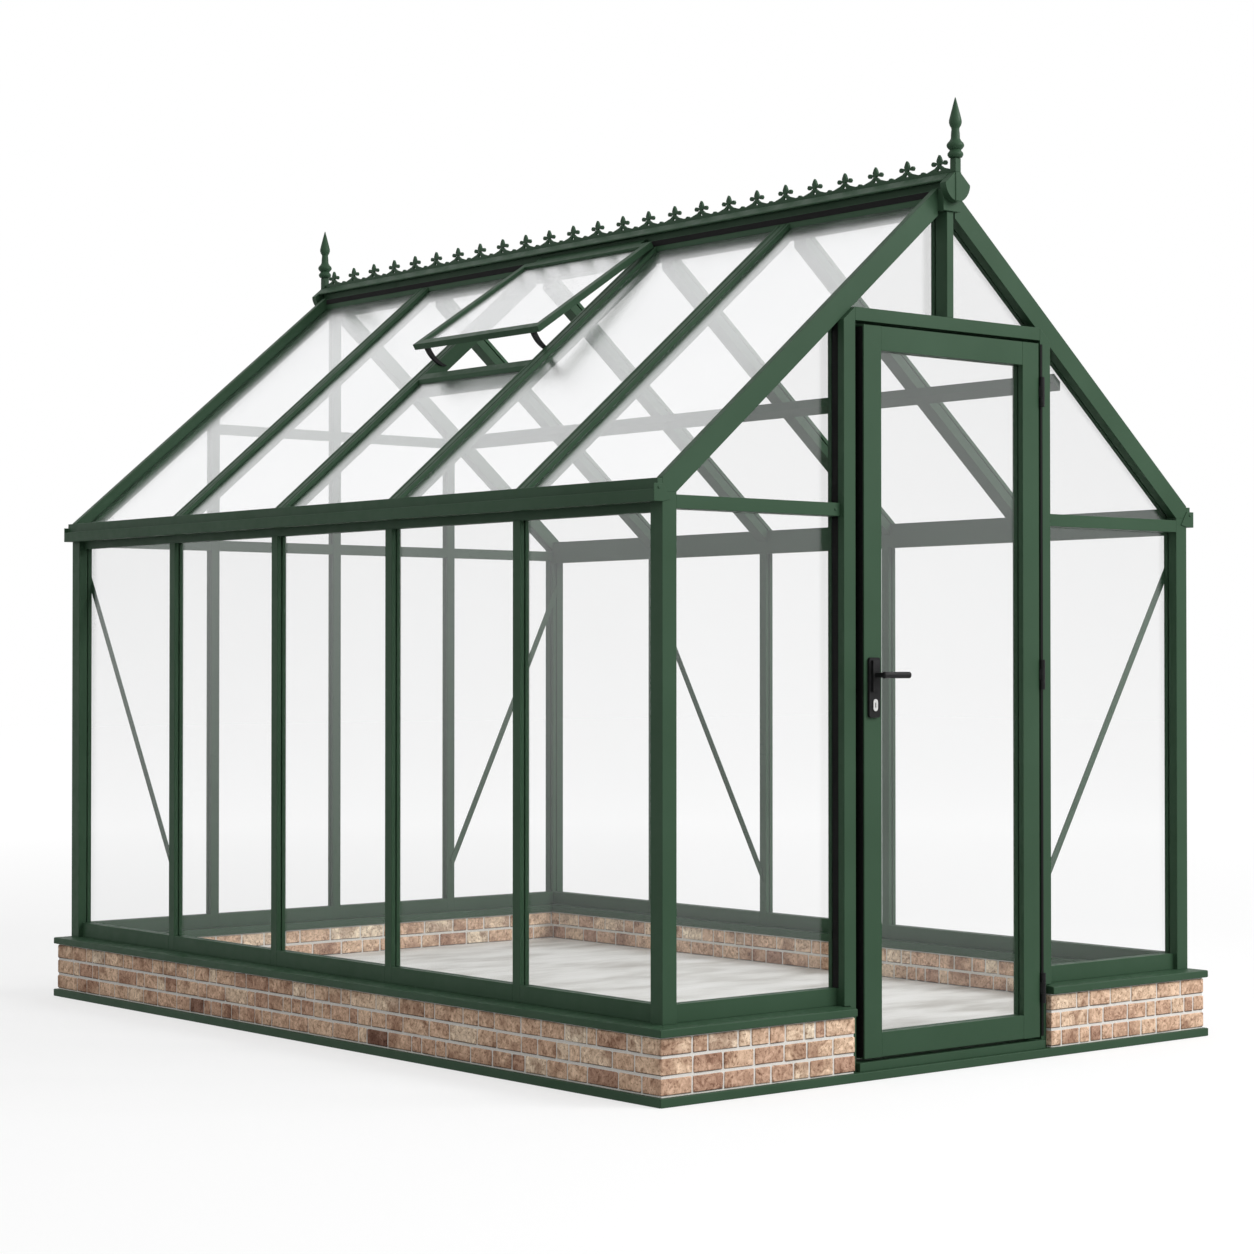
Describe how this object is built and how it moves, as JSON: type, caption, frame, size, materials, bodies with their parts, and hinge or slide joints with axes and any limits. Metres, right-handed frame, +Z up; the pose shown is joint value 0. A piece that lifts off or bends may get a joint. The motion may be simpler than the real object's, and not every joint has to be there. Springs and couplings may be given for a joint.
{
  "type": "polycarbonate greenhouse",
  "caption": "Garden greenhouse of green aluminium bars and clear polycarbonate on a brick dwarf wall, with a hinged glazed door, ridge cresting and finials.",
  "frame": {"origin": "centre of the frame's plan, on the ground under the floor", "axes": "+X to the right seen from the door, +Y from the door gable to the rear gable, +Z up"},
  "size_m": [2.196, 3.2439, 2.7243],
  "materials": {
    "green_aluminium": "satin powder coat",
    "polycarbonate": "clear sheet",
    "brick": "tumbled facing brick in pale mortar",
    "paving": "pale stone paving",
    "black_metal": "satin black",
    "lock_metal": "nickel plated"
  },
  "bodies": {
    "building": {"left_dwarf_wall": "brick", "right_dwarf_wall": "brick", "rear_dwarf_wall": "brick", "front_dwarf_walls": "brick", "floor_slab": "paving", "base_side_rails": "green_aluminium", "base_end_rails": "green_aluminium", "side_sills": "green_aluminium", "end_sills": "green_aluminium", "corner_posts": "green_aluminium", "side_mullions": "green_aluminium", "side_bottom_rails": "green_aluminium", "rear_posts": "green_aluminium", "rear_bottom_rails": "green_aluminium", "rear_eave_ties": "green_aluminium", "rear_collars": "green_aluminium", "front_bottom_rails": "green_aluminium", "front_eave_ties": "green_aluminium", "door_jambs": "green_aluminium", "door_header": "green_aluminium", "front_king_post": "green_aluminium", "threshold": "green_aluminium", "door_side_stops": "green_aluminium", "door_head_stop": "green_aluminium", "eave_beams": "green_aluminium", "left_gutter": "green_aluminium", "right_gutter": "green_aluminium", "roof_rafters": "green_aluminium", "gable_verges": "green_aluminium", "right_purlin": "green_aluminium", "ridge_bar": "green_aluminium", "ridge_end_caps": "green_aluminium", "finials": "green_aluminium", "ridge_cresting": "green_aluminium", "vent_stiles": "green_aluminium", "vent_rails": "green_aluminium", "vent_transom": "green_aluminium", "wall_braces": "green_aluminium", "side_glazing": "polycarbonate", "front_glazing": "polycarbonate", "rear_glazing": "polycarbonate", "roof_glazing": "polycarbonate", "vent_glazing": "polycarbonate", "vent_stays": "black_metal", "jamb_hinges": "black_metal"},
    "door": {"door_stiles": "green_aluminium", "door_rails": "green_aluminium", "door_glazing": "polycarbonate", "door_hinges": "black_metal", "handle_plates": "black_metal", "lock_cylinder": "lock_metal"},
    "lever": {"door_levers": "black_metal"}
  },
  "joints": [
    {"name": "door_hinge", "type": "hinge", "parent": "building", "child": "door", "pos_m": [0.364, -1.581, 1], "axis": [0, 0, 1], "range_deg": [0, 110]},
    {"name": "lever_turn", "type": "hinge", "parent": "door", "child": "lever", "pos_m": [-0.3205, -1.557, 1.101], "axis": [0, 1, 0], "range_deg": [0, 40], "stiffness_Nm_per_rad": 1, "springref_deg": -20.05}
  ]
}
